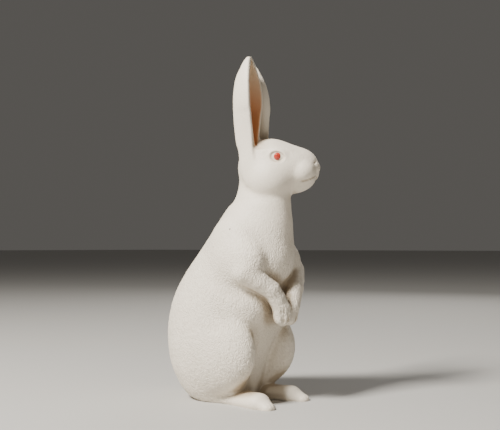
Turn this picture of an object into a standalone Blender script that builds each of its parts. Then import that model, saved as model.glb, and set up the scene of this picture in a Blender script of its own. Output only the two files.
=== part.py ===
"""A white rabbit sitting up on its hind legs, cast in one piece, with two inlaid eye beads.

The figure faces -Y and stands on z = 0, with its right side towards -X. Its free form is drawn in parts of its
own height: each limb is a field of distances to a rounded shape, the fields run into one another, and geometry
nodes lay a skin where the field is zero.
"""

import math

import bmesh
import bpy
from mathutils import Euler, Vector

# Driving dimensions, in metres
FIGURE_HEIGHT = 0.290  # from the soles to the tips of the ears
EYE_DIAMETER = 0.0070  # one bead
EYE_SHOWS = 0.0011  # how far a bead stands out of its eyeball
SEAT_CLEARANCE = 0.0003  # between a bead and its seat, all round

# How finely the form is sampled, and how many triangles its skin keeps
GRID_STEP = 0.0014
FIGURE_TRIANGLES = 8400
BEAD_SEGMENTS = 18

# The free form is drawn in parts of the figure's height, with turns in degrees
PARTS_IN_HEIGHT = 290
PART = FIGURE_HEIGHT / PARTS_IN_HEIGHT
GRID_LOW = Vector((-58, -100, -8))
GRID_HIGH = Vector((58, 62, 294))
OUTSIDE = -10.0  # the grid's value beyond its faces, which is outside the skin

# Torso and neck: height, reach forwards, reach backwards, half width
TORSO = (
    (-10, 24, 10, 21),
    (0, 30, 22.5, 30.5),
    (5, 31.5, 31, 35.5),
    (16, 34, 39, 41),
    (36, 40, 48.4, 45),
    (60, 49.5, 51.5, 46),
    (74, 53.5, 49.8, 45),
    (86, 55, 46.5, 43),
    (105, 60, 36.5, 38),
    (125, 66, 21.5, 31.5),
    (145, 69, 6, 26),
    (163, 68, -7.8, 21),
    (171, 68, -15.5, 18),
    (182, 69, -18.8, 15.5),
    (200, 69, -21.5, 16),
    (215, 66, -25, 16),
)
TAIL = ((0, 42.5, 22), (11.5, 11, 14), (24, 0, 0))  # centre, radii, turn
BELLY = ((13, -28, 82), (22, 28, 28), (0, 0, 0))  # like the breast and the limbs, on the left side and mirrored
BREAST = ((0, -40, 122), (25, 30, 31), (0, 0, 0))

# Hind legs
THIGH = ((28, -11.5, 43), (19, 42, 36), (-4, 0, 0))
SHIN = (((27, -38, 42), 10.5), ((20.5, -27.5, 14), 9))  # knots, each a centre and a radius
FOOT = (((19, 8, 5), 9), ((19, -36, 5), 10), ((22.5, -54, 5), 10), ((24.5, -65, 1.5), 6))
FOOT_FLATNESS = 1.3

# Forelegs, in a frame on the chest that is turned a little towards the right
CHEST = (0, -50, 100)
CHEST_TURN = (0, 0, -4)
SHOULDER = ((20, -28, 127), (16, 24, 29), (0, 0, 0))
UPPER_ARM = ((25.5, -37, 117), (14.5, 24, 21), (0, 0, 0))
FOREARM = (
    ((31, 1, 9), 10),
    ((23, -7, 2), 8.4),
    ((15, -13.5, -5.2), 7.6),
    ((10.5, -15.5, -12), 7.2),
    ((6.4, -17, -20), 7.3),
    ((4.6, -16.5, -27.5), 7.4),
)

# Head, in a frame of its own that looks a little to the figure's left
HEAD = (0, -43, 197)
HEAD_TURN = (0, 0, 20)
SKULL = ((0, -5, 0.5), (19.5, 27, 24), (0, 0, 0))
CHEEK = ((10, -8, -10.5), (14.4, 18.5, 17), (0, 0, 0))
MUZZLE = ((0, -27, -1.2), (13.8, 20.5, 17), (-11, 0, 0))
FACE_SIDE = ((8.5, -24, 2), (8.2, 14, 10), (0, 0, -14))
WHISKER_PAD = ((6.3, -36, -4.2), (9.3, 10.5, 10), (0, 0, 0))
JAW = ((0, -24, -10), (11, 21, 12.6), (-3, 0, 0))
MOUTH = (
    ((0, -47.4, -7.6), 0.9),
    ((4.2, -45.2, -9.9), 1.1),
    ((6.9, -40.4, -12.3), 1.2),
    ((8.8, -36.6, -13.8), 1.2),
    ((11.0, -31.0, -14.2), 1.0),
)

# Eyes, in the head's frame: a lidded opening round an eyeball that holds a bead
LIDS = ((16.2, -17.2, 7.2), (3.7, 9.4, 6.8), (13, 0, -8))
LID_OPENING = ((19.8, -17.2, 7.0), (3.5, 6.7, 4.5), (13, 0, -11))
EYEBALL = ((13.2, -16.9, 7.4), (5.4, 7.8, 5.6), (13, 0, -11))

# Ears: height, depth behind the rims, half width, half width of the opening, how far back the rims stand
EAR = (
    (-14, 8, 3, 0.5, -1),
    (0, 13.2, 5.2, 0.5, -1),
    (14, 15.5, 6, 1, 0),
    (20, 17.5, 6.4, 2, 0),
    (30, 19, 7.5, 3.9, 0),
    (44, 20, 10, 6.7, 0),
    (57, 20, 12, 8.8, 0),
    (69, 18, 11.2, 8.2, 0.8),
    (78, 14.5, 9, 6, 2),
    (83, 11, 7.2, 4, 2.8),
    (89, 6.5, 4.8, 1, 4),
    (93, 2.4, 2.2, 0.4, 4.6),
)
EAR_WALL = 4  # behind the hollow
EAR_FLOOR = 12  # height at which the hollow starts
RIM_STAND = 1.5  # how far the walls reach in front of the rims' line
# The right ear looks forwards and the left one outwards: foot of the ear, turn, backward tilt, share of the
# height, and its share of the depth at some heights
EARS = (
    ((-13, 4.2, 0), -14, 0, 1.0, ((-14, 1.0), (93, 1.0))),
    (
        (13.2, 3.2, 0), 56, -3.8, 0.965,
        ((-14, 0.6), (28, 0.62), (40, 0.68), (55, 0.83), (68, 0.95), (78, 0.93), (88, 0.6), (93, 0.5)),
    ),
)

# How softly each form runs into the rest
SOFT = {
    "tail": 7, "belly": 8, "breast": 8, "thigh": 7, "shin": 6, "shoulder": 14, "upper arm": 9, "forearm": 5.5,
    "foot": 4, "cheek": 7, "muzzle": 14, "face side": 8, "whisker pad": 3, "jaw": 3.5, "mouth": 1.2,
    "lids": 2.5, "lid opening": 1.2, "eyeball": 0.6, "ear": 6, "ear hollow": 1, "ear rim": 2.5, "head": 5,
    "knot": 1.5,
}
THINNEST_HOLLOW = 0.6  # half the depth that an ear's hollow keeps where its walls meet

# Finish: base colour, roughness
CERAMIC = ((0.80, 0.76, 0.69), 0.55)
BEAD = ((0.62, 0.06, 0.04), 0.12)


class Term:
    """A socket of a node tree that takes part in sums."""

    def __init__(self, socket):
        self.socket = socket

    @property
    def tree(self):
        return self.socket.id_data

    def node(self, kind, settings, *values):
        return place_node(self.tree, kind, settings, self, *values)

    def math(self, operation, *values):
        return Term(self.node("ShaderNodeMath", {"operation": operation}, *values).outputs[0])

    def vector(self, operation, *values):
        node = self.node("ShaderNodeVectorMath", {"operation": operation}, *values)
        scalar = operation in ("LENGTH", "DOT_PRODUCT")
        return Term(node.outputs["Value" if scalar else "Vector"])

    def __add__(self, other):
        return self.math("ADD", other)

    def __sub__(self, other):
        return self.math("SUBTRACT", other)

    def __mul__(self, other):
        return self.math("MULTIPLY", other)

    def __truediv__(self, other):
        return self.math("DIVIDE", other)

    def __neg__(self):
        return self.math("MULTIPLY", -1.0)

    def parts(self):
        return [Term(socket) for socket in self.node("ShaderNodeSeparateXYZ", {}).outputs]


def place_node(tree, kind, settings, *values):
    """Adds a node, sets it up, then gives its inputs values or links."""
    node = tree.nodes.new(kind)
    for name, value in settings.items():
        setattr(node, name, value)
    for socket, value in zip(node.inputs, values):
        if isinstance(value, Term):
            tree.links.new(value.socket, socket)
        else:
            socket.default_value = value
    return node


def joined(x, y, z):
    return Term(place_node(x.tree, "ShaderNodeCombineXYZ", {}, x, y, z).outputs[0])


def radians(turn):
    return tuple(math.radians(degrees) for degrees in turn)


def in_frame(place, centre, turn):
    """The place as a frame at this centre with this turn sees it."""
    offset = place.vector("SUBTRACT", centre)
    settings = {"rotation_type": "EULER_XYZ", "invert": True}
    node = offset.node("ShaderNodeVectorRotate", settings)
    node.inputs["Rotation"].default_value = radians(turn)
    return Term(node.outputs[0])


def mirrored(place):
    """Folds the right side onto the left, so that one form makes a pair."""
    x, y, z = place.parts()
    return joined(x.math("ABSOLUTE"), y, z)


def united(field, other, softness):
    return field.math("SMOOTH_MIN", other, softness)


def carved(field, hollow, softness):
    return field.math("SMOOTH_MAX", -hollow, softness)


def ellipsoid(place, form):
    """Distance to an ellipsoid, close to true near its surface."""
    centre, radii, turn = form
    shrunk = in_frame(place, centre, turn).vector("DIVIDE", radii)
    reach = shrunk.vector("LENGTH")
    return reach * (reach - 1.0) / shrunk.vector("DIVIDE", radii).vector("LENGTH")


def ellipse(x, y, half_width, half_depth):
    """Distance in a level section to an ellipse whose size changes with height."""
    across, along = x / half_width, y / half_depth
    reach = (across * across + along * along).math("SQRT")
    steepness = ((across / half_width).math("POWER", 2) + (along / half_depth).math("POWER", 2)).math("SQRT")
    return reach * (reach - 1.0) / (steepness + 1e-6)


def limb(place, start, end):
    """Distance to a round bar between two knots, each a centre and a radius."""
    (near, thick), (far, thin) = start, end
    axis = Vector(far) - Vector(near)
    offset = place.vector("SUBTRACT", near)
    share = (offset.vector("DOT_PRODUCT", tuple(axis)) / axis.length_squared).math("MAXIMUM", 0.0)
    share = share.math("MINIMUM", 1.0)
    foot = joined(*(share * side for side in axis))
    return offset.vector("SUBTRACT", foot).vector("LENGTH") - (share * (thin - thick) + thick)


def chain(place, knots):
    """Distance to a limb through several knots."""
    bars = [limb(place, start, end) for start, end in zip(knots, knots[1:])]
    field = bars[0]
    for bar in bars[1:]:
        field = united(field, bar, SOFT["knot"])
    return field


def profile(height, stations, column):
    """A size that changes with height, as a smooth curve through the stations."""
    low, high = stations[0][0], stations[-1][0]
    least = min(row[column] for row in stations)
    most = max(row[column] for row in stations)
    span = max(most - least, 1.0)
    node = place_node(height.tree, "ShaderNodeFloatCurve", {}, 1.0, (height - low) / (high - low))
    points = node.mapping.curves[0].points
    for _ in stations[2:]:
        points.new(0.5, 0.5)
    for point, row in zip(points, stations):
        point.location = ((row[0] - low) / (high - low), (row[column] - least) / span)
    node.mapping.update()
    return Term(node.outputs[0]) * span + least


def torso(place):
    x, y, z = place.parts()
    front, back, half_width = (profile(z, TORSO, column) for column in (1, 2, 3))
    section = ellipse(x, y - (back - front) * 0.5, half_width, (back + front) * 0.5)
    return section.math("MAXIMUM", z - TORSO[-1][0] + SOFT["head"])


def hind_legs(place, body):
    side = mirrored(place)
    body = united(body, ellipsoid(side, BELLY), SOFT["belly"])
    body = united(body, ellipsoid(side, THIGH), SOFT["thigh"])
    body = united(body, chain(side, SHIN), SOFT["shin"])
    flat = side.vector("MULTIPLY", (1, 1, FOOT_FLATNESS))
    return united(body, chain(flat, FOOT), SOFT["foot"])


def forelegs(place, body):
    side = mirrored(place)
    body = united(body, ellipsoid(side, SHOULDER), SOFT["shoulder"])
    body = united(body, ellipsoid(side, BREAST), SOFT["breast"])
    body = united(body, ellipsoid(side, UPPER_ARM), SOFT["upper arm"])
    side = mirrored(in_frame(place, CHEST, CHEST_TURN))
    return united(body, chain(side, FOREARM), SOFT["forearm"])


def head(place):
    """Skull, cheeks and muzzle, in the head's frame."""
    side = mirrored(place)
    field = ellipsoid(side, SKULL)
    forms = {"cheek": CHEEK, "muzzle": MUZZLE, "face side": FACE_SIDE, "whisker pad": WHISKER_PAD, "jaw": JAW}
    for name, form in forms.items():
        field = united(field, ellipsoid(side, form), SOFT[name])
    return field


def face(place, body):
    """Mouth, lids and eyeballs, cut into the head."""
    side = mirrored(place)
    body = carved(body, chain(side, MOUTH), SOFT["mouth"])
    body = united(body, ellipsoid(side, LIDS), SOFT["lids"])
    body = carved(body, ellipsoid(side, LID_OPENING), SOFT["lid opening"])
    return united(body, ellipsoid(side, EYEBALL), SOFT["eyeball"])


def ear(place, tallness, shares):
    """A deep scoop that opens towards -Y of its own frame and narrows to a slot at its foot."""
    x, y, z = place.vector("DIVIDE", (1, 1, tallness)).parts()
    depth, half_width, opening, back = (profile(z, EAR, column) for column in (1, 2, 3, 4))
    depth = depth * profile(z, shares, 1)
    y = y - back
    outside = ellipse(x, y, half_width, depth).math("SMOOTH_MAX", -y - RIM_STAND, SOFT["ear rim"])
    inside = (depth - EAR_WALL).math("MAXIMUM", THINNEST_HOLLOW)
    hollow = ellipse(x, y, opening, inside).math("MAXIMUM", -z + EAR_FLOOR)
    scoop = carved(outside.math("MAXIMUM", z - EAR[-1][0]), hollow, SOFT["ear hollow"])
    return scoop.math("MAXIMUM", -z + EAR[0][0])


def figure(place):
    """Distance to the whole figure, in parts of its height."""
    body = united(torso(place), ellipsoid(place, TAIL), SOFT["tail"])
    body = hind_legs(place, body)
    body = forelegs(place, body)
    on_head = in_frame(place, HEAD, HEAD_TURN)
    body = united(body, head(on_head), SOFT["head"])
    for foot, turn, tilt, tallness, shares in EARS:
        upright = in_frame(on_head, foot, (tilt, 0, 0))
        body = united(body, ear(in_frame(upright, (0, 0, 0), (0, 0, turn)), tallness, shares), SOFT["ear"])
    return face(on_head, body)


def form_tree():
    """Geometry nodes that sample the figure's field on a grid and lay a skin where it is zero."""
    tree = bpy.data.node_groups.new("Rabbit form", "GeometryNodeTree")
    tree.interface.new_socket("Geometry", in_out="OUTPUT", socket_type="NodeSocketGeometry")
    place = Term(tree.nodes.new("GeometryNodeInputPosition").outputs[0])
    field = figure(place.vector("DIVIDE", (PART, PART, PART)))
    cube = place_node(tree, "GeometryNodeVolumeCube", {}, -field, OUTSIDE)
    low, high = GRID_LOW * PART, GRID_HIGH * PART
    cube.inputs["Min"].default_value = low
    cube.inputs["Max"].default_value = high
    for axis, length in zip("XYZ", high - low):
        cube.inputs[f"Resolution {axis}"].default_value = round(length / GRID_STEP)
    skin = tree.nodes.new("GeometryNodeVolumeToMesh")
    skin.inputs["Threshold"].default_value = 0.0
    tree.links.new(cube.outputs["Volume"], skin.inputs["Volume"])
    out = tree.nodes.new("NodeGroupOutput")
    tree.links.new(skin.outputs["Mesh"], out.inputs[0])
    return tree


def material(name, finish):
    colour, roughness = finish
    made = bpy.data.materials.new(name)
    made.use_nodes = True
    shader = made.node_tree.nodes["Principled BSDF"]
    shader.inputs["Base Color"].default_value = (*colour, 1)
    shader.inputs["Roughness"].default_value = roughness
    shader.inputs["Metallic"].default_value = 0
    return made


def collection(name):
    made = bpy.data.collections.new(name)
    bpy.context.scene.collection.children.link(made)
    return made


def add_object(name, mesh, group):
    made = bpy.data.objects.new(name, mesh)
    group.objects.link(made)
    return made


def levelled(mesh):
    """Cuts off what the grid holds below the soles, which leaves flat ground to stand on with a crisp rim."""
    form = bmesh.new()
    form.from_mesh(mesh)
    whole = form.verts[:] + form.edges[:] + form.faces[:]
    bmesh.ops.bisect_plane(form, geom=whole, plane_co=(0, 0, 0), plane_no=(0, 0, 1), clear_inner=True)
    rim = [edge for edge in form.edges if edge.is_boundary]
    for edge in rim:
        edge.smooth = False
        for corner in edge.verts:
            corner.co.z = 0
    bmesh.ops.holes_fill(form, edges=rim)
    form.to_mesh(mesh)
    form.free()


def skin_of(group):
    """The figure's skin as a mesh of its own, thinned to the triangles that its form needs."""
    sampled = add_object("sampled form", bpy.data.meshes.new("sampled form"), group)
    sampled.modifiers.new("Form", "NODES").node_group = form_tree()
    graph = bpy.context.evaluated_depsgraph_get()
    fine = bpy.data.meshes.new_from_object(sampled.evaluated_get(graph))
    triangles = sum(len(face.vertices) - 2 for face in fine.polygons)
    sampled.modifiers.clear()
    sampled.data = fine
    thinned = sampled.modifiers.new("Thin", "DECIMATE")
    thinned.ratio = min(1.0, FIGURE_TRIANGLES / triangles)
    thinned.use_collapse_triangulate = True
    graph = bpy.context.evaluated_depsgraph_get()
    mesh = bpy.data.meshes.new_from_object(sampled.evaluated_get(graph))
    bpy.data.objects.remove(sampled)
    mesh.name = "rabbit"
    mesh.shade_smooth()
    levelled(mesh)
    return mesh


def eye_centre(side):
    """Where the middle of a bead lies, so that it stands out of its eyeball by EYE_SHOWS."""
    (across, along, up), radii, _ = EYEBALL
    surface = (across + radii[0]) * PART
    inwards = surface + EYE_SHOWS - EYE_DIAMETER / 2
    local = Vector((side * inwards, along * PART, up * PART))
    return Vector(HEAD) * PART + Euler(radians(HEAD_TURN)).to_matrix() @ local


def moved_to(made, group):
    for owner in list(made.users_collection):
        owner.objects.unlink(made)
    group.objects.link(made)
    return made


def ball(name, diameter, centre, group):
    bpy.ops.mesh.primitive_uv_sphere_add(
        segments=BEAD_SEGMENTS, ring_count=BEAD_SEGMENTS // 2, radius=diameter / 2, location=centre
    )
    made = moved_to(bpy.context.object, group)
    made.name = made.data.name = name
    made.data.shade_smooth()
    return made


def cut_away(rabbit, cutter):
    cutter.hide_render = True
    cutter.display_type = "WIRE"
    cut = rabbit.modifiers.new(cutter.name, "BOOLEAN")
    cut.operation = "DIFFERENCE"
    cut.object = cutter


def add_eye(rabbit, side, name, group, cutters):
    """Cuts a seat in the eyeball and lays a bead in it."""
    centre = eye_centre(side)
    cut_away(rabbit, ball(f"{name}_seat", EYE_DIAMETER + 2 * SEAT_CLEARANCE, centre, cutters))
    return ball(name, EYE_DIAMETER, centre, group)


def main():
    for old in list(bpy.data.objects):
        bpy.data.objects.remove(old)
    group = collection("Rabbit figure")
    cutters = collection("Cutters")
    rabbit = add_object("rabbit", skin_of(group), group)
    rabbit.data.materials.append(material("White ceramic", CERAMIC))
    red = material("Red bead", BEAD)
    for side, name in ((-1, "eye_right"), (1, "eye_left")):
        add_eye(rabbit, side, name, group, cutters).data.materials.append(red)


main()
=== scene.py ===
"""Dresses the rabbit figure: a fine skin with tooled fur, polished eye beads, a pale floor and soft light.

The figure faces -Y and stands on z = 0, with its right side towards -X. Its form is drawn in parts of its own
height, as the solids are. Every limb is a field of distances to a rounded shape, and the fields run into one
another. Geometry nodes lay a skin where the joined field is zero and raise the fur from it.
"""

import math

import bmesh
import bpy
from bpy.props import FloatProperty, FloatVectorProperty, IntProperty, PointerProperty
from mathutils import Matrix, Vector


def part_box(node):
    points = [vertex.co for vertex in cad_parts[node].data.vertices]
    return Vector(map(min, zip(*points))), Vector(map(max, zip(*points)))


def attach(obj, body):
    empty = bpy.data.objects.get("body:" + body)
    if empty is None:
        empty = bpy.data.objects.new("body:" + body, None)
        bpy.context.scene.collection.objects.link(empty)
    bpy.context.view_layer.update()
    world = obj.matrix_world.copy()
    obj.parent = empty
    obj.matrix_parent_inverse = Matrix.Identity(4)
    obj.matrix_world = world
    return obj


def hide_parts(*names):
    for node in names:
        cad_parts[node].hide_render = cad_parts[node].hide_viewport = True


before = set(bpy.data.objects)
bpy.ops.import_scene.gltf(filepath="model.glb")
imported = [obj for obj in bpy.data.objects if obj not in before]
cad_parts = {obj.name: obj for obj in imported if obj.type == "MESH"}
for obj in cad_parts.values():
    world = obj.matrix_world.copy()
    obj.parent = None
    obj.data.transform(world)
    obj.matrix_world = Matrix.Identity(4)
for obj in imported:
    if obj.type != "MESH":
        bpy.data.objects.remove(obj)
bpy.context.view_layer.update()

bl_info = {
    "name": "Rabbit figure",
    "version": (1, 0, 0),
    "blender": (4, 5, 0),
    "location": "3D View > Sidebar > Rabbit",
    "description": "Models the fine skin, the eye beads and the stage of a standing rabbit figure",
    "category": "Object",
}

# The free form is drawn in parts of the figure's height, with turns in degrees
PARTS_IN_HEIGHT = 290
GRID_LOW = Vector((-58, -100, -8))
GRID_HIGH = Vector((58, 62, 294))
OUTSIDE = -10.0  # the grid's value beyond its faces, which is outside the skin
HOLLOW_REACHES = (8.0, 24.0)  # how far out of the skin the room above it is measured
GROOVE_REACH = 2.0  # the same, to find fine lines
TINY = 1e-6  # keeps a division from failing on a form's axis

# Torso and neck: height, reach forwards, reach backwards, half width
TORSO = (
    (-10, 24, 10, 21),
    (0, 30, 22.5, 30.5),
    (5, 31.5, 31, 35.5),
    (16, 34, 39, 41),
    (36, 40, 48.4, 45),
    (60, 49.5, 51.5, 46),
    (74, 53.5, 49.8, 45),
    (86, 55, 46.5, 43),
    (105, 60, 36.5, 38),
    (125, 66, 21.5, 31.5),
    (145, 69, 6, 26),
    (163, 68, -7.8, 21),
    (171, 68, -15.5, 18),
    (182, 69, -18.8, 15.5),
    (200, 69, -21.5, 16),
    (215, 66, -25, 16),
)
TAIL = ((0, 42.5, 22), (11.5, 11, 14), (24, 0, 0))  # centre, radii, turn
BELLY = ((13, -28, 82), (22, 28, 28), (0, 0, 0))
BREAST = ((0, -40, 122), (25, 30, 31), (0, 0, 0))

# Hind legs, drawn for the left side and mirrored
THIGH = ((28, -11.5, 43), (19, 42, 36), (-4, 0, 0))
SHIN = (((27, -38, 42), 10.5), ((20.5, -27.5, 14), 9))  # knots, each a centre and a radius
FOOT = (((19, 8, 5), 9), ((19, -36, 5), 10), ((22.5, -54, 5), 10), ((24.5, -65, 1.5), 6))
FOOT_FLATNESS = 1.3
TOE_LINES = (
    (((20.6, -59, 10.8), 0.3), ((20.2, -63, 8.4), 0.5), ((20.9, -67, 5.8), 0.6), ((21.9, -71, 2), 0.5)),
    (((24.2, -60, 11.2), 0.3), ((24.6, -64.5, 8.4), 0.5), ((24.9, -68.5, 5.2), 0.6), ((25, -71.5, 2), 0.5)),
    (((27.8, -62, 8.4), 0.3), ((27.9, -66, 6.0), 0.4), ((27.6, -69.5, 3.0), 0.4)),
)

# Forelegs, in a frame on the chest that is turned a little towards the right
CHEST = (0, -50, 100)
CHEST_TURN = (0, 0, -4)
SHOULDER = ((20, -28, 127), (16, 24, 29), (0, 0, 0))
UPPER_ARM = ((25.5, -37, 117), (14.5, 24, 21), (0, 0, 0))
FOREARM = (
    ((31, 1, 9), 10),
    ((23, -7, 2), 8.4),
    ((15, -13.5, -5.2), 7.6),
    ((10.5, -15.5, -12), 7.2),
    ((6.4, -17, -20), 7.3),
    ((4.6, -16.5, -27.5), 7.4),
)
FINGER_LINES = (
    (
        ((12.5, -21.9, -18.5), 0.5), ((11.6, -21.7, -22.7), 0.7),
        ((10.1, -21.1, -29.3), 0.8), ((8.4, -19.6, -34), 0.8),
    ),
    (
        ((10.4, -23.3, -20), 0.5), ((9.8, -23, -23.6), 0.7),
        ((9.2, -22.4, -27.5), 0.8), ((7.6, -20.8, -33), 0.8),
    ),
    (
        ((5.6, -24.5, -20), 0.5), ((5.2, -24.1, -25), 0.7),
        ((4.8, -22.8, -30), 0.8), ((4.4, -20.5, -34), 0.8),
    ),
)

# Head, in a frame of its own that looks a little to the figure's left
HEAD = (0, -43, 197)
HEAD_TURN = (0, 0, 20)
SKULL = ((0, -5, 0.5), (19.5, 27, 24), (0, 0, 0))
CHEEK = ((10, -8, -10.5), (14.4, 18.5, 17), (0, 0, 0))
MUZZLE = ((0, -27, -1.2), (13.8, 20.5, 17), (-11, 0, 0))
FACE_SIDE = ((8.5, -24, 2), (8.2, 14, 10), (0, 0, -14))
WHISKER_PAD = ((6.3, -36, -4.2), (9.3, 10.5, 10), (0, 0, 0))
JAW = ((0, -24, -10), (11, 21, 12.6), (-3, 0, 0))
BROW = ((11.5, -17, 12.5), (5.5, 13, 4), (10, 0, -8))
NOSE = ((0, -45.2, -0.8), (5.4, 3.6, 4.6), (-10, 0, 0))
NOSTRIL = ((4.8, -46.0, 2.6), (2.2, 1.0, 0.5), (0, 32, 24))
LIP_CLEFT = (((0, -48.6, -2.8), 0.5), ((0, -46.8, -6.0), 0.8), ((0, -46.0, -8.0), 0.8))
MOUTH = (
    ((0, -46.0, -8.0), 0.8),
    ((4.0, -45.4, -8.9), 1.0),
    ((7.0, -44.0, -10.6), 1.1),
    ((9.2, -41.6, -12.0), 1.2),
    ((10.3, -37.1, -13.0), 1.2),
    ((10.7, -33.9, -14.0), 0.8),
)

# Eyes, in the head's frame: a lidded opening round an eyeball that holds a bead
LIDS = ((16.2, -17.2, 7.2), (3.7, 9.4, 6.8), (13, 0, -8))
LID_OPENING = ((19.8, -17.2, 7.0), (3.5, 6.7, 4.5), (13, 0, -11))
EYEBALL = ((13.2, -16.9, 7.4), (5.4, 7.8, 5.6), (13, 0, -11))
BEAD_SEGMENTS = 48

# Ears: height, depth behind the rims, half width, half width of the opening, how far back the rims stand
EAR = (
    (-14, 8, 3, 0.5, -1),
    (0, 13.2, 5.2, 0.5, -1),
    (14, 15.5, 6, 1, 0),
    (20, 17.5, 6.4, 2, 0),
    (30, 19, 7.5, 3.9, 0),
    (44, 20, 10, 6.7, 0),
    (57, 20, 12, 8.8, 0),
    (69, 18, 11.2, 8.2, 0.8),
    (78, 14.5, 9, 6, 2),
    (83, 11, 7.2, 4, 2.8),
    (89, 6.5, 4.8, 1, 4),
    (93, 2.4, 2.2, 0.4, 4.6),
)
EAR_WALL = 4  # behind the hollow
EAR_FLOOR = 12  # height at which the hollow starts
RIM_STAND = 1.5  # how far the walls reach in front of the rims' line
THINNEST_HOLLOW = 0.6
# The right ear looks forwards and the left one outwards: foot of the ear, turn, backward tilt, share of the
# height, and its share of the depth at some heights
EARS = (
    ((-13, 4.2, 0), -14, 0, 1.0, ((-14, 1.0), (93, 1.0))),
    (
        (13.2, 3.2, 0), 56, -3.8, 0.965,
        ((-14, 0.6), (28, 0.62), (40, 0.68), (55, 0.83), (68, 0.95), (78, 0.93), (88, 0.6), (93, 0.5)),
    ),
)

# How softly each form runs into the rest
SOFT = {
    "tail": 7, "belly": 8, "breast": 8, "thigh": 7, "shin": 6, "shoulder": 14, "upper arm": 9, "forearm": 5.5,
    "foot": 4, "cheek": 7, "muzzle": 14, "face side": 8, "whisker pad": 3, "jaw": 3.5, "brow": 5, "nose": 2.5,
    "nostril": 1.0, "mouth": 0.6, "lids": 2.5, "lid opening": 1.2, "eyeball": 0.6, "ear": 6, "ear hollow": 1,
    "ear rim": 2.5, "head": 5, "knot": 1.5, "line": 1.0,
}

# How many finer layers a noise carries
FEW_LAYERS = 1.0
MANY_LAYERS = 3.0

# Strokes of the tooled fur
WANDER_SCALE = 0.045
WANDER_ACROSS = 5.0
WANDER_ALONG = 6.0
STROKE_LEAN = 0.2  # how much of the height the strokes fall forwards
STROKE_STRETCH = 0.7  # below 1 the strokes are longer down the body than across
STROKE_DISTORTION = 0.2
STROKE_GAIN = 1.8  # brings the noise up to the full height

# Where the tooling is faint and where it is full: by height below the head, then by height and by reach at
# the feet
HEAD_FUR = (178.0, 100.0)
FEET_FUR = (15.0, 24.0)
TOES_FUR = (-36.0, -26.0)
FAINT_FUR = 0.25

# How closed in a place is, from 0 to 1, where the finish starts to change and where it has changed
EAR_EDGE = (1.6, -0.4)  # here in parts from the hollow's wall
# Hollows and grooves get warm patina and painted shade between these shares
HOLLOW_SHARES = (0.12, 0.75)
GROOVE_SHARES = (0.15, 0.85)
EAR_FADE = (285.0, 232.0)  # heights between which the ears darken inside

# The finish
# Warm patina and painted shade: how far hollows and grooves darken towards the recess colour
HOLLOW_PATINA_AND_SHADE = 0.9
GROOVE_PATINA_AND_SHADE = 0.6
# Painted shade in the fur strokes' troughs and painted light on their ridges
STROKE_SHADE = 0.17
EVEN_TINT = 0.08
CLOUD_SCALE = 0.03
CLOUD_TINT = 0.05
NAP_SPACING = 1.0
GRIT_SCALE = 1.6
GRIT_DISTORTION = 0.4
GRIT_SHARE = 0.2
NAP_STRENGTH = 0.9
NAP_DEPTH = 0.0003
CERAMIC_ROUGHNESS = 0.5
HOLLOW_ROUGHNESS = 0.15  # rougher still where polish doesn't reach
CERAMIC_IOR = 1.45
VEIN_SCALE = 420.0
VEIN_DISTORTION = 0.5
BEAD_ROUGHNESS = 0.12
BEAD_COAT = 0.6
BEAD_COAT_ROUGHNESS = 0.05

SPECK = (-32.8, -32.7, 144.5)  # a dark speck in the finish of the right shoulder
SPECK_WIDTH = 2.0

# The camera's place, as the photograph was taken
VIEW_AZIMUTH = math.radians(-52)
VIEW_DISTANCE = 0.70
VIEW_HEIGHT = 0.130
AIM_HEIGHT = 0.158
AIM_SHIFT = 0.0222
VIEW_LENS = 57.25
VIEW_SENSOR = 36
NEAREST_SEEN = 0.01
TO_THE_RIGHT = Vector((math.cos(VIEW_AZIMUTH), math.sin(VIEW_AZIMUTH), 0))
TO_THE_CAMERA = Vector((math.sin(VIEW_AZIMUTH), -math.cos(VIEW_AZIMUTH), 0))
UP = Vector((0, 0, 1))

# Lights: how far to the right of the view, towards the camera and up, how wide, and of what colour
LIGHTS = {
    "key": ((-0.84, 0.76, 1.25), 0.35, (1.0, 0.96, 0.89)),
    "fill": ((0.9, 1.0, 0.5), 0.8, (1.0, 0.90, 0.78)),
    "rear": ((0.5, -1.2, 0.8), 0.8, (1.0, 0.97, 0.92)),
}
LIT_HEIGHT = 0.14  # where the lights aim
SKY_COLOUR = (1.0, 0.95, 0.88, 1)
FLOOR_REACH = 25.0
FLOOR_ROUGHNESS = 0.7


class Term:
    """A socket of a node tree that takes part in sums."""

    def __init__(self, socket):
        self.socket = socket

    @property
    def tree(self):
        return self.socket.id_data

    def node(self, kind, settings, *values):
        return place_node(self.tree, kind, settings, self, *values)

    def math(self, operation, *values):
        return Term(self.node("ShaderNodeMath", {"operation": operation}, *values).outputs[0])

    def vector(self, operation, *values):
        node = self.node("ShaderNodeVectorMath", {"operation": operation}, *values)
        scalar = operation in ("LENGTH", "DOT_PRODUCT")
        return Term(node.outputs["Value" if scalar else "Vector"])

    def __add__(self, other):
        return self.math("ADD", other)

    __radd__ = __add__

    def __sub__(self, other):
        return self.math("SUBTRACT", other)

    def __rsub__(self, other):
        return -self + other

    def __mul__(self, other):
        return self.math("MULTIPLY", other)

    def __truediv__(self, other):
        return self.math("DIVIDE", other)

    def __neg__(self):
        return self.math("MULTIPLY", -1.0)

    def clamped(self):
        return self.math("MAXIMUM", 0.0).math("MINIMUM", 1.0)

    def between(self, low, high):
        """0 below low, 1 above high, and smooth between; the other way round if low is the greater."""
        settings = {"interpolation_type": "SMOOTHSTEP"}
        return Term(self.node("ShaderNodeMapRange", settings, low, high, 0.0, 1.0).outputs[0])

    def parts(self):
        return [Term(socket) for socket in self.node("ShaderNodeSeparateXYZ", {}).outputs]


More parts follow.
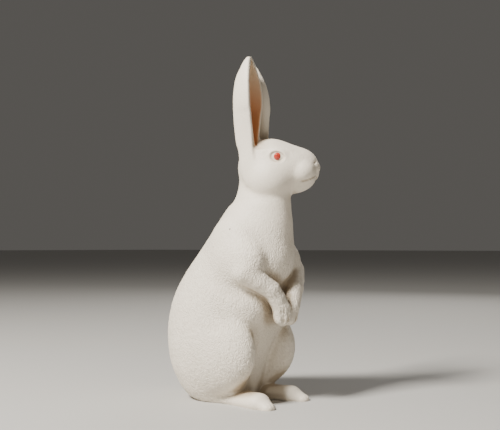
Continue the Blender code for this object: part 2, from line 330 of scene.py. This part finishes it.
def place_node(tree, kind, settings, *values, **named):
    """Adds a node, sets it up, then gives its inputs values or links."""
    node = tree.nodes.new(kind)
    for name, value in settings.items():
        setattr(node, name, value)
    pairs = list(zip(node.inputs, values)) + [(node.inputs[name], value) for name, value in named.items()]
    for socket, value in pairs:
        if isinstance(value, Term):
            tree.links.new(value.socket, socket)
        elif value is not None:
            socket.default_value = value
    return node


def joined(x, y, z):
    return Term(place_node(x.tree, "ShaderNodeCombineXYZ", {}, x, y, z).outputs[0])


def radians(turn):
    return tuple(math.radians(degrees) for degrees in turn)


def in_frame(place, centre, turn):
    """The place as a frame at this centre with this turn sees it."""
    offset = place.vector("SUBTRACT", centre)
    settings = {"rotation_type": "EULER_XYZ", "invert": True}
    node = place_node(place.tree, "ShaderNodeVectorRotate", settings, offset, Rotation=radians(turn))
    return Term(node.outputs[0])


def mirrored(place):
    """Folds the right side onto the left, so that one form makes a pair."""
    x, y, z = place.parts()
    return joined(x.math("ABSOLUTE"), y, z)


def united(field, other, softness):
    return field.math("SMOOTH_MIN", other, softness)


def carved(field, hollow, softness):
    return field.math("SMOOTH_MAX", -hollow, softness)


def ellipsoid(place, form):
    """Distance to an ellipsoid, close to true near its surface."""
    centre, radii, turn = form
    shrunk = in_frame(place, centre, turn).vector("DIVIDE", radii)
    reach = shrunk.vector("LENGTH")
    return reach * (reach - 1.0) / shrunk.vector("DIVIDE", radii).vector("LENGTH")


def ellipse(x, y, half_width, half_depth):
    """Distance in a level section to an ellipse whose size changes with height."""
    across, along = x / half_width, y / half_depth
    reach = (across * across + along * along).math("SQRT")
    steepness = ((across / half_width).math("POWER", 2) + (along / half_depth).math("POWER", 2)).math("SQRT")
    return reach * (reach - 1.0) / (steepness + TINY)


def limb(place, start, end):
    """Distance to a round bar between two knots, each a centre and a radius."""
    (near, thick), (far, thin) = start, end
    axis = Vector(far) - Vector(near)
    offset = place.vector("SUBTRACT", near)
    share = (offset.vector("DOT_PRODUCT", tuple(axis)) / axis.length_squared).clamped()
    foot = joined(*(share * side for side in axis))
    return offset.vector("SUBTRACT", foot).vector("LENGTH") - (share * (thin - thick) + thick)


def chain(place, knots):
    """Distance to a limb through several knots."""
    bars = [limb(place, start, end) for start, end in zip(knots, knots[1:])]
    field = bars[0]
    for bar in bars[1:]:
        field = united(field, bar, SOFT["knot"])
    return field


def profile(height, stations, column):
    """A size that changes with height, as a smooth curve through the stations."""
    low, high = stations[0][0], stations[-1][0]
    least = min(row[column] for row in stations)
    most = max(row[column] for row in stations)
    span = max(most - least, 1.0)
    node = place_node(height.tree, "ShaderNodeFloatCurve", {}, 1.0, (height - low) / (high - low))
    points = node.mapping.curves[0].points
    for _ in stations[2:]:
        points.new(0.5, 0.5)
    for point, row in zip(points, stations):
        point.location = ((row[0] - low) / (high - low), (row[column] - least) / span)
    node.mapping.update()
    return Term(node.outputs[0]) * span + least


def torso(place):
    x, y, z = place.parts()
    front, back, half_width = (profile(z, TORSO, column) for column in (1, 2, 3))
    section = ellipse(x, y - (back - front) * 0.5, half_width, (back + front) * 0.5)
    return section.math("MAXIMUM", z - TORSO[-1][0] + SOFT["head"])


def hind_legs(place, body):
    side = mirrored(place)
    body = united(body, ellipsoid(side, BELLY), SOFT["belly"])
    body = united(body, ellipsoid(side, THIGH), SOFT["thigh"])
    body = united(body, chain(side, SHIN), SOFT["shin"])
    flat = side.vector("MULTIPLY", (1, 1, FOOT_FLATNESS))
    body = united(body, chain(flat, FOOT), SOFT["foot"])
    for line in TOE_LINES:
        body = carved(body, chain(side, line), SOFT["line"])
    return body


def forelegs(place, body):
    side = mirrored(place)
    body = united(body, ellipsoid(side, SHOULDER), SOFT["shoulder"])
    body = united(body, ellipsoid(side, BREAST), SOFT["breast"])
    body = united(body, ellipsoid(side, UPPER_ARM), SOFT["upper arm"])
    side = mirrored(in_frame(place, CHEST, CHEST_TURN))
    body = united(body, chain(side, FOREARM), SOFT["forearm"])
    for line in FINGER_LINES:
        body = carved(body, chain(side, line), SOFT["line"])
    return body


def head(place):
    """Skull, cheeks and muzzle, in the head's frame."""
    side = mirrored(place)
    field = ellipsoid(side, SKULL)
    forms = {
        "cheek": CHEEK, "muzzle": MUZZLE, "face side": FACE_SIDE, "whisker pad": WHISKER_PAD, "jaw": JAW,
        "brow": BROW, "nose": NOSE,
    }
    for name, form in forms.items():
        field = united(field, ellipsoid(side, form), SOFT[name])
    return field


def face(place, body):
    """Nostrils, mouth, lids and eyeballs, worked into the head."""
    side = mirrored(place)
    body = carved(body, ellipsoid(side, NOSTRIL), SOFT["nostril"])
    body = carved(body, chain(side, LIP_CLEFT), SOFT["line"])
    body = carved(body, chain(side, MOUTH), SOFT["mouth"])
    body = united(body, ellipsoid(side, LIDS), SOFT["lids"])
    body = carved(body, ellipsoid(side, LID_OPENING), SOFT["lid opening"])
    return united(body, ellipsoid(side, EYEBALL), SOFT["eyeball"])


def ear(place, tallness, shares):
    """A scoop, open towards -Y of its own frame and narrow as a slot at its foot, and the scoop's hollow."""
    x, y, z = place.vector("DIVIDE", (1, 1, tallness)).parts()
    depth, half_width, opening, back = (profile(z, EAR, column) for column in (1, 2, 3, 4))
    depth = depth * profile(z, shares, 1)
    y = y - back
    outside = ellipse(x, y, half_width, depth).math("SMOOTH_MAX", -y - RIM_STAND, SOFT["ear rim"])
    hollow = ellipse(x, y, opening, (depth - EAR_WALL).math("MAXIMUM", THINNEST_HOLLOW))
    hollow = hollow.math("MAXIMUM", -z + EAR_FLOOR)
    scoop = carved(outside.math("MAXIMUM", z - EAR[-1][0]), hollow, SOFT["ear hollow"])
    return scoop.math("MAXIMUM", -z + EAR[0][0]), hollow.math("MAXIMUM", -y - RIM_STAND)


def figure(place):
    """Distance to the whole figure, and to the ears' hollows, in parts of its height."""
    body = united(torso(place), ellipsoid(place, TAIL), SOFT["tail"])
    body = hind_legs(place, body)
    body = forelegs(place, body)
    on_head = in_frame(place, HEAD, HEAD_TURN)
    body = united(body, head(on_head), SOFT["head"])
    hollows = []
    for foot, turn, tilt, tallness, shares in EARS:
        upright = in_frame(on_head, foot, (tilt, 0, 0))
        scoop, hollow = ear(in_frame(upright, (0, 0, 0), (0, 0, turn)), tallness, shares)
        body = united(body, scoop, SOFT["ear"])
        hollows.append(hollow)
    return face(on_head, body), hollows[0].math("MINIMUM", hollows[1])


def group_tree(name, inputs, outputs):
    """An empty node group with named inputs: the tree, its input terms and its output node."""
    tree = bpy.data.node_groups.new(name, "GeometryNodeTree")
    for label, kind in inputs.items():
        tree.interface.new_socket(label, in_out="INPUT", socket_type=f"NodeSocket{kind}")
    for label, kind in outputs.items():
        tree.interface.new_socket(label, in_out="OUTPUT", socket_type=f"NodeSocket{kind}")
    given = tree.nodes.new("NodeGroupInput")
    return tree, {label: Term(given.outputs[label]) for label in inputs}, tree.nodes.new("NodeGroupOutput")


def figure_group():
    """The figure's field as a node group, so that it can be read at several places."""
    outputs = {"Distance": "Float", "Ear hollow": "Float"}
    tree, given, out = group_tree("Rabbit field", {"Place": "Vector"}, outputs)
    for term, socket in zip(figure(given["Place"]), out.inputs):
        tree.links.new(term.socket, socket)
    return tree


def noise(place, scale, detail, distortion=0.0):
    """Fractal noise about 0, from -1 to 1."""
    settings = {"noise_dimensions": "3D"}
    named = {"Vector": place, "Scale": scale, "Detail": detail, "Distortion": distortion}
    return Term(place_node(place.tree, "ShaderNodeTexNoise", settings, **named).outputs[0]) * 2.0 - 1.0


def fur(place, spacing):
    """Height of the tooled fur, from -1 to 1: short strokes that run down the body and wander a little."""
    wander = noise(place, WANDER_SCALE, FEW_LAYERS)
    x, y, z = place.parts()
    combed = (x + wander * WANDER_ACROSS, y - z * STROKE_LEAN, z * STROKE_STRETCH + wander * WANDER_ALONG)
    strokes = noise(joined(*(length / spacing for length in combed)), 1.0, FEW_LAYERS, STROKE_DISTORTION)
    return strokes * STROKE_GAIN


def coat(place):
    """How strong the fur's tooling is: full on the body, faint on the head, the ears and the feet."""
    _, y, z = place.parts()
    on_body = z.between(*HEAD_FUR) * (z.between(*FEET_FUR) + y.between(*TOES_FUR)).clamped()
    return on_body * (1.0 - FAINT_FUR) + FAINT_FUR


def skin_tree(material):
    """Geometry nodes that lay the fine skin, raise the fur and note what the finish needs to know."""
    sizes = ("Part", "Grid step", "Fur depth", "Fur spacing")
    inputs = {"Geometry": "Geometry", **{size: "Float" for size in sizes}}
    tree, given, out = group_tree("Rabbit skin", inputs, {"Geometry": "Geometry"})
    field_tree = figure_group()
    part = given["Part"]
    position = Term(tree.nodes.new("GeometryNodeInputPosition").outputs[0])
    place = position.vector("DIVIDE", joined(part, part, part))

    def field(at):
        return place_node(tree, "GeometryNodeGroup", {"node_tree": field_tree}, at)

    cube = place_node(tree, "GeometryNodeVolumeCube", {}, -Term(field(place).outputs[0]), OUTSIDE)
    for label, corner in (("Min", GRID_LOW), ("Max", GRID_HIGH)):
        tree.links.new(joined(*(part * side for side in corner)).socket, cube.inputs[label])
    for axis, length in zip("XYZ", GRID_HIGH - GRID_LOW):
        steps = (part * length / given["Grid step"]).math("ROUND")
        tree.links.new(steps.socket, cube.inputs[f"Resolution {axis}"])
    skin = place_node(tree, "GeometryNodeVolumeToMesh", {}, Term(cube.outputs[0]), Threshold=0.0)
    smooth = place_node(tree, "GeometryNodeSetShadeSmooth", {}, Term(skin.outputs[0]))

    normal = Term(tree.nodes.new("GeometryNodeInputNormal").outputs[0])

    def room(reach):
        above = place.vector("ADD", normal.vector("MULTIPLY", (reach,) * 3))
        return (Term(field(above).outputs[0]) / reach).clamped()

    # How closed in the skin is, which the finish turns into warm patina and painted shade
    near, far = HOLLOW_REACHES
    notes = {
        "in_ear": Term(field(place).outputs[1]).between(*EAR_EDGE),
        "hollow": 1.0 - (room(near) + room(far)) * 0.5,
        "groove": 1.0 - room(GROOVE_REACH),
        "fur": fur(place, given["Fur spacing"]) * coat(place),
    }
    mesh = Term(smooth.outputs[0])
    settings = {"data_type": "FLOAT", "domain": "POINT"}
    for name, value in notes.items():
        noted = place_node(tree, "GeometryNodeStoreNamedAttribute", settings, mesh, Name=name, Value=value)
        mesh = Term(noted.outputs[0])
    stored = place_node(tree, "GeometryNodeInputNamedAttribute", {"data_type": "FLOAT"}, "fur")
    rise = Term(stored.outputs[0]) * given["Fur depth"]
    offset = normal.vector("MULTIPLY", joined(rise, rise, rise))
    moved = place_node(tree, "GeometryNodeSetPosition", {}, mesh, Offset=offset)
    whole = place_node(tree, "GeometryNodeRealizeInstances", {}, Term(moved.outputs[0]))
    finished = place_node(tree, "GeometryNodeSetMaterial", {}, Term(whole.outputs[0]), Material=material)
    tree.links.new(finished.outputs[0], out.inputs[0])
    return tree


def linked(name, data):
    """A new object in the scene."""
    made = bpy.data.objects.new(name, data)
    bpy.context.scene.collection.objects.link(made)
    return made


def evaluated_mesh(made):
    graph = bpy.context.evaluated_depsgraph_get()
    return bpy.data.meshes.new_from_object(made.evaluated_get(graph))


def grown(name, tree, values):
    """The mesh that a geometry node tree makes, with these inputs, as an object of its own."""
    made = linked(name, bpy.data.meshes.new(name))
    grower = made.modifiers.new("Grow", "NODES")
    grower.node_group = tree
    sockets = {item.name: item.identifier for item in tree.interface.items_tree if item.in_out == "INPUT"}
    for label, value in values.items():
        grower[sockets[label]] = value
    mesh = evaluated_mesh(made)
    made.modifiers.clear()
    made.data = mesh
    return made


def thinned(made, triangles):
    """Drops the vertices that the form needs least."""
    count = sum(len(face.vertices) - 2 for face in made.data.polygons)
    thinner = made.modifiers.new("Thin", "DECIMATE")
    thinner.ratio = min(1.0, triangles / count)
    mesh = evaluated_mesh(made)
    made.modifiers.clear()
    made.data = mesh


def levelled(mesh):
    """Cuts off what lies below the soles, which leaves flat ground to stand on with a crisp rim."""
    form = bmesh.new()
    form.from_mesh(mesh)
    whole = form.verts[:] + form.edges[:] + form.faces[:]
    bmesh.ops.bisect_plane(form, geom=whole, plane_co=(0, 0, 0), plane_no=(0, 0, 1), clear_inner=True)
    rim = [edge for edge in form.edges if edge.is_boundary]
    for edge in rim:
        edge.smooth = False
        for corner in edge.verts:
            corner.co.z = 0
    bmesh.ops.holes_fill(form, edges=rim)
    form.to_mesh(mesh)
    form.free()


def new_material(name):
    made = bpy.data.materials.new(name)
    made.use_nodes = True
    return made, made.node_tree, made.node_tree.nodes["Principled BSDF"]


def attribute(tree, name):
    return Term(place_node(tree, "ShaderNodeAttribute", {"attribute_name": name}).outputs["Fac"])


def blended(share, first, second):
    """A colour between two, by a share from 0 to 1."""
    others = (None,) * 5  # the inputs of other kinds, which stand between the share and the colours
    node = place_node(share.tree, "ShaderNodeMix", {"data_type": "RGBA"}, share, *others, first, second)
    return Term(node.outputs[2])


def ceramic(finish, part):
    """Unglazed white with warm patina and painted shade in hollows and grooves, painted shade and light on
    the fur strokes, and rust-coloured ears inside.
    """
    material, tree, shader = new_material("White tooled ceramic")
    place = Term(tree.nodes.new("ShaderNodeTexCoord").outputs["Object"]).vector("DIVIDE", (part, part, part))
    notes = ("hollow", "groove", "in_ear", "fur")
    hollow, groove, in_ear, strokes = (attribute(tree, name) for name in notes)
    cloud = noise(place, CLOUD_SCALE, MANY_LAYERS)
    # Warm patina and painted shade, darkest in deep hollows and fine grooves
    hollow_and_groove_shade = hollow.between(*HOLLOW_SHARES) * HOLLOW_PATINA_AND_SHADE + groove.between(*GROOVE_SHARES) * GROOVE_PATINA_AND_SHADE
    # the fur strokes get painted shade in their troughs and painted light on their ridges
    tint = (hollow_and_groove_shade + cloud * CLOUD_TINT + EVEN_TINT - strokes * STROKE_SHADE).clamped()
    coat_colour = blended(tint, (*finish.coat, 1), (*finish.recess_patina_and_shade, 1))
    _, _, z = place.parts()
    ear_colour = blended(z.between(*EAR_FADE), (*finish.ear_top, 1), (*finish.ear_root, 1))
    speck = place.vector("SUBTRACT", SPECK).vector("LENGTH").between(SPECK_WIDTH / 2, SPECK_WIDTH / 5)
    colour = blended(speck, blended(in_ear, coat_colour, ear_colour), (*finish.speck, 1))
    nap = fur(place, NAP_SPACING) * coat(place)
    nap = nap + noise(place, GRIT_SCALE, MANY_LAYERS, GRIT_DISTORTION) * GRIT_SHARE
    bump = place_node(tree, "ShaderNodeBump", {}, Height=nap, Strength=NAP_STRENGTH, Distance=NAP_DEPTH)
    roughness = (CERAMIC_ROUGHNESS + cloud * CLOUD_TINT + hollow * HOLLOW_ROUGHNESS).clamped()
    tree.links.new(colour.socket, shader.inputs["Base Color"])
    tree.links.new(roughness.socket, shader.inputs["Roughness"])
    tree.links.new(bump.outputs[0], shader.inputs["Normal"])
    shader.inputs["IOR"].default_value = CERAMIC_IOR
    return material


def bead_material(finish):
    """Polished opaque red with faint deeper veins."""
    material, tree, shader = new_material("Polished red bead")
    place = Term(tree.nodes.new("ShaderNodeTexCoord").outputs["Object"])
    veins = noise(place, VEIN_SCALE, MANY_LAYERS, VEIN_DISTORTION)
    colour = blended((veins * 0.5 + 0.5).clamped(), (*finish.bead, 1), (*finish.bead_deep, 1))
    tree.links.new(colour.socket, shader.inputs["Base Color"])
    shader.inputs["Roughness"].default_value = BEAD_ROUGHNESS
    shader.inputs["Coat Weight"].default_value = BEAD_COAT
    shader.inputs["Coat Roughness"].default_value = BEAD_COAT_ROUGHNESS
    return material


def length_property(name, description, default):
    return FloatProperty(name=name, description=description, default=default, unit="LENGTH", precision=5)


def colour_property(name, description, default):
    return FloatVectorProperty(
        name=name, description=description, subtype="COLOR", default=default, min=0, max=1
    )


def power_property(name, description, default):
    return FloatProperty(name=name, description=description, subtype="POWER", default=default)


class RabbitForm(bpy.types.PropertyGroup):
    """Sizes of the figure and of its fur."""

    height: length_property("Height", "From the soles to the tips of the ears", 0.290)
    grid_step: length_property("Grid step", "How finely the form is sampled", 0.0007)
    triangles: IntProperty(name="Triangles", description="Triangles that the skin keeps", default=196000)
    fur_depth: length_property("Fur depth", "Half the height of the tooled fur", 0.00027)
    fur_spacing: FloatProperty(
        name="Fur spacing", description="Between strokes, in parts of the height", default=1.75
    )


class RabbitFinish(bpy.types.PropertyGroup):
    """Colours of the figure."""

    coat: colour_property("Coat", "White of the coat", (0.87, 0.795, 0.68))
    # Warm patina and painted shade, the colour that hollows, grooves and the fur strokes' troughs darken
    # towards
    recess_patina_and_shade: colour_property("Recess", "Tint in the hollows", (0.50, 0.41, 0.30))
    ear_top: colour_property("Ear top", "Inside the ears, high up", (0.80, 0.65, 0.47))
    ear_root: colour_property("Ear root", "Inside the ears, low down", (0.80, 0.35, 0.13))
    speck: colour_property("Speck", "Small dark speck on the shoulder", (0.13, 0.10, 0.08))
    bead: colour_property("Bead", "Red of the eye beads", (0.56, 0.05, 0.024))
    bead_deep: colour_property("Bead veins", "Deeper red in the beads", (0.38, 0.022, 0.015))


class RabbitStage(bpy.types.PropertyGroup):
    """Floor and light."""

    floor: colour_property("Floor", "Colour of the floor", (0.50, 0.49, 0.47))
    key: power_property("Key light", "Power of the large light", 68.0)
    fill: power_property("Fill light", "Power of the weak light", 0.8)
    rear: power_property("Rear light", "Power of the light behind", 5.0)
    sky: FloatProperty(name="Sky", description="Strength of the even light all round", default=0.1)


class RABBIT_OT_skin(bpy.types.Operator):
    """Grows the figure's fine skin and lays its finish on it"""

    bl_idname = "rabbit.skin"
    bl_label = "Model the rabbit"

    def execute(self, context):
        form, finish = context.scene.rabbit_form, context.scene.rabbit_finish
        part = form.height / PARTS_IN_HEIGHT
        tree = skin_tree(ceramic(finish, part))
        values = {
            "Part": part,
            "Grid step": form.grid_step,
            "Fur depth": form.fur_depth,
            "Fur spacing": form.fur_spacing,
        }
        rabbit = grown("rabbit_figure", tree, values)
        if not rabbit.data.polygons:
            raise RuntimeError("the field gave no skin")
        thinned(rabbit, form.triangles)
        levelled(rabbit.data)
        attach(rabbit, "root")
        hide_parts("rabbit")
        return {"FINISHED"}


class RABBIT_OT_beads(bpy.types.Operator):
    """Turns the two eye beads and polishes them"""

    bl_idname = "rabbit.beads"
    bl_label = "Set the eye beads"

    def execute(self, context):
        red = bead_material(context.scene.rabbit_finish)
        for node in ("eye_right", "eye_left"):
            low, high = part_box(node)
            form = bmesh.new()
            bmesh.ops.create_uvsphere(
                form, u_segments=BEAD_SEGMENTS, v_segments=BEAD_SEGMENTS // 2, radius=(high.z - low.z) / 2
            )
            bmesh.ops.translate(form, verts=form.verts, vec=(low + high) / 2)
            mesh = bpy.data.meshes.new(f"{node}_bead")
            form.to_mesh(mesh)
            form.free()
            mesh.shade_smooth()
            mesh.materials.append(red)
            bead = linked(f"{node}_bead", mesh)
            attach(bead, "root")
            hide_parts(node)
        return {"FINISHED"}


def from_the_view(right, near, up):
    """A place given to the right of the view, towards the camera and up."""
    return TO_THE_RIGHT * right + TO_THE_CAMERA * near + UP * up


def turned_to(looker, aim):
    looker.rotation_euler = (aim - looker.location).to_track_quat("-Z", "Y").to_euler()


def lay_floor(colour):
    form = bmesh.new()
    bmesh.ops.create_grid(form, x_segments=1, y_segments=1, size=FLOOR_REACH)
    mesh = bpy.data.meshes.new("floor")
    form.to_mesh(mesh)
    form.free()
    material, _, shader = new_material("Pale floor")
    shader.inputs["Base Color"].default_value = (*colour, 1)
    shader.inputs["Roughness"].default_value = FLOOR_ROUGHNESS
    mesh.materials.append(material)
    linked("floor", mesh)


def hang_light(name, power):
    place, width, colour = LIGHTS[name]
    data = bpy.data.lights.new(name, "AREA")
    data.size = width
    data.energy = power
    data.color = colour
    light = linked(name, data)
    light.location = from_the_view(*place)
    turned_to(light, UP * LIT_HEIGHT)


def light_room(strength):
    """Even light from all round."""
    world = bpy.data.worlds.new("soft room")
    world.use_nodes = True
    background = world.node_tree.nodes["Background"]
    background.inputs["Color"].default_value = SKY_COLOUR
    background.inputs["Strength"].default_value = strength
    bpy.context.scene.world = world


def place_camera():
    data = bpy.data.cameras.new("camera")
    data.sensor_width = VIEW_SENSOR
    data.lens = VIEW_LENS
    data.clip_start = NEAREST_SEEN
    camera = linked("camera", data)
    camera.location = from_the_view(AIM_SHIFT, VIEW_DISTANCE, VIEW_HEIGHT)
    turned_to(camera, from_the_view(AIM_SHIFT, 0, AIM_HEIGHT))
    bpy.context.scene.camera = camera


class RABBIT_OT_stage(bpy.types.Operator):
    """Lays a pale floor and sets the lights and the camera"""

    bl_idname = "rabbit.stage"
    bl_label = "Set the stage"

    def execute(self, context):
        stage = context.scene.rabbit_stage
        lay_floor(stage.floor)
        for name in LIGHTS:
            hang_light(name, getattr(stage, name))
        light_room(stage.sky)
        place_camera()
        return {"FINISHED"}


OPERATORS = (RABBIT_OT_skin, RABBIT_OT_beads, RABBIT_OT_stage)
GROUPS = {"rabbit_form": RabbitForm, "rabbit_finish": RabbitFinish, "rabbit_stage": RabbitStage}


class RABBIT_PT_panel(bpy.types.Panel):
    """Lists the figure's sizes, colours and steps"""

    bl_idname = "RABBIT_PT_panel"
    bl_label = "Rabbit figure"
    bl_space_type = "VIEW_3D"
    bl_region_type = "UI"
    bl_category = "Rabbit"

    def draw(self, context):
        for name, group in GROUPS.items():
            box = self.layout.box()
            for item in group.__annotations__:
                box.prop(getattr(context.scene, name), item)
        for operator in OPERATORS:
            self.layout.operator(operator.bl_idname)


def register():
    for group in (*GROUPS.values(), *OPERATORS, RABBIT_PT_panel):
        bpy.utils.register_class(group)
    for name, group in GROUPS.items():
        setattr(bpy.types.Scene, name, PointerProperty(type=group))


def unregister():
    for name in GROUPS:
        delattr(bpy.types.Scene, name)
    for group in (RABBIT_PT_panel, *OPERATORS, *GROUPS.values()):
        bpy.utils.unregister_class(group)


def main():
    register()
    bpy.ops.rabbit.stage()
    bpy.ops.rabbit.skin()
    bpy.ops.rabbit.beads()


if __name__ == "__main__":
    main()
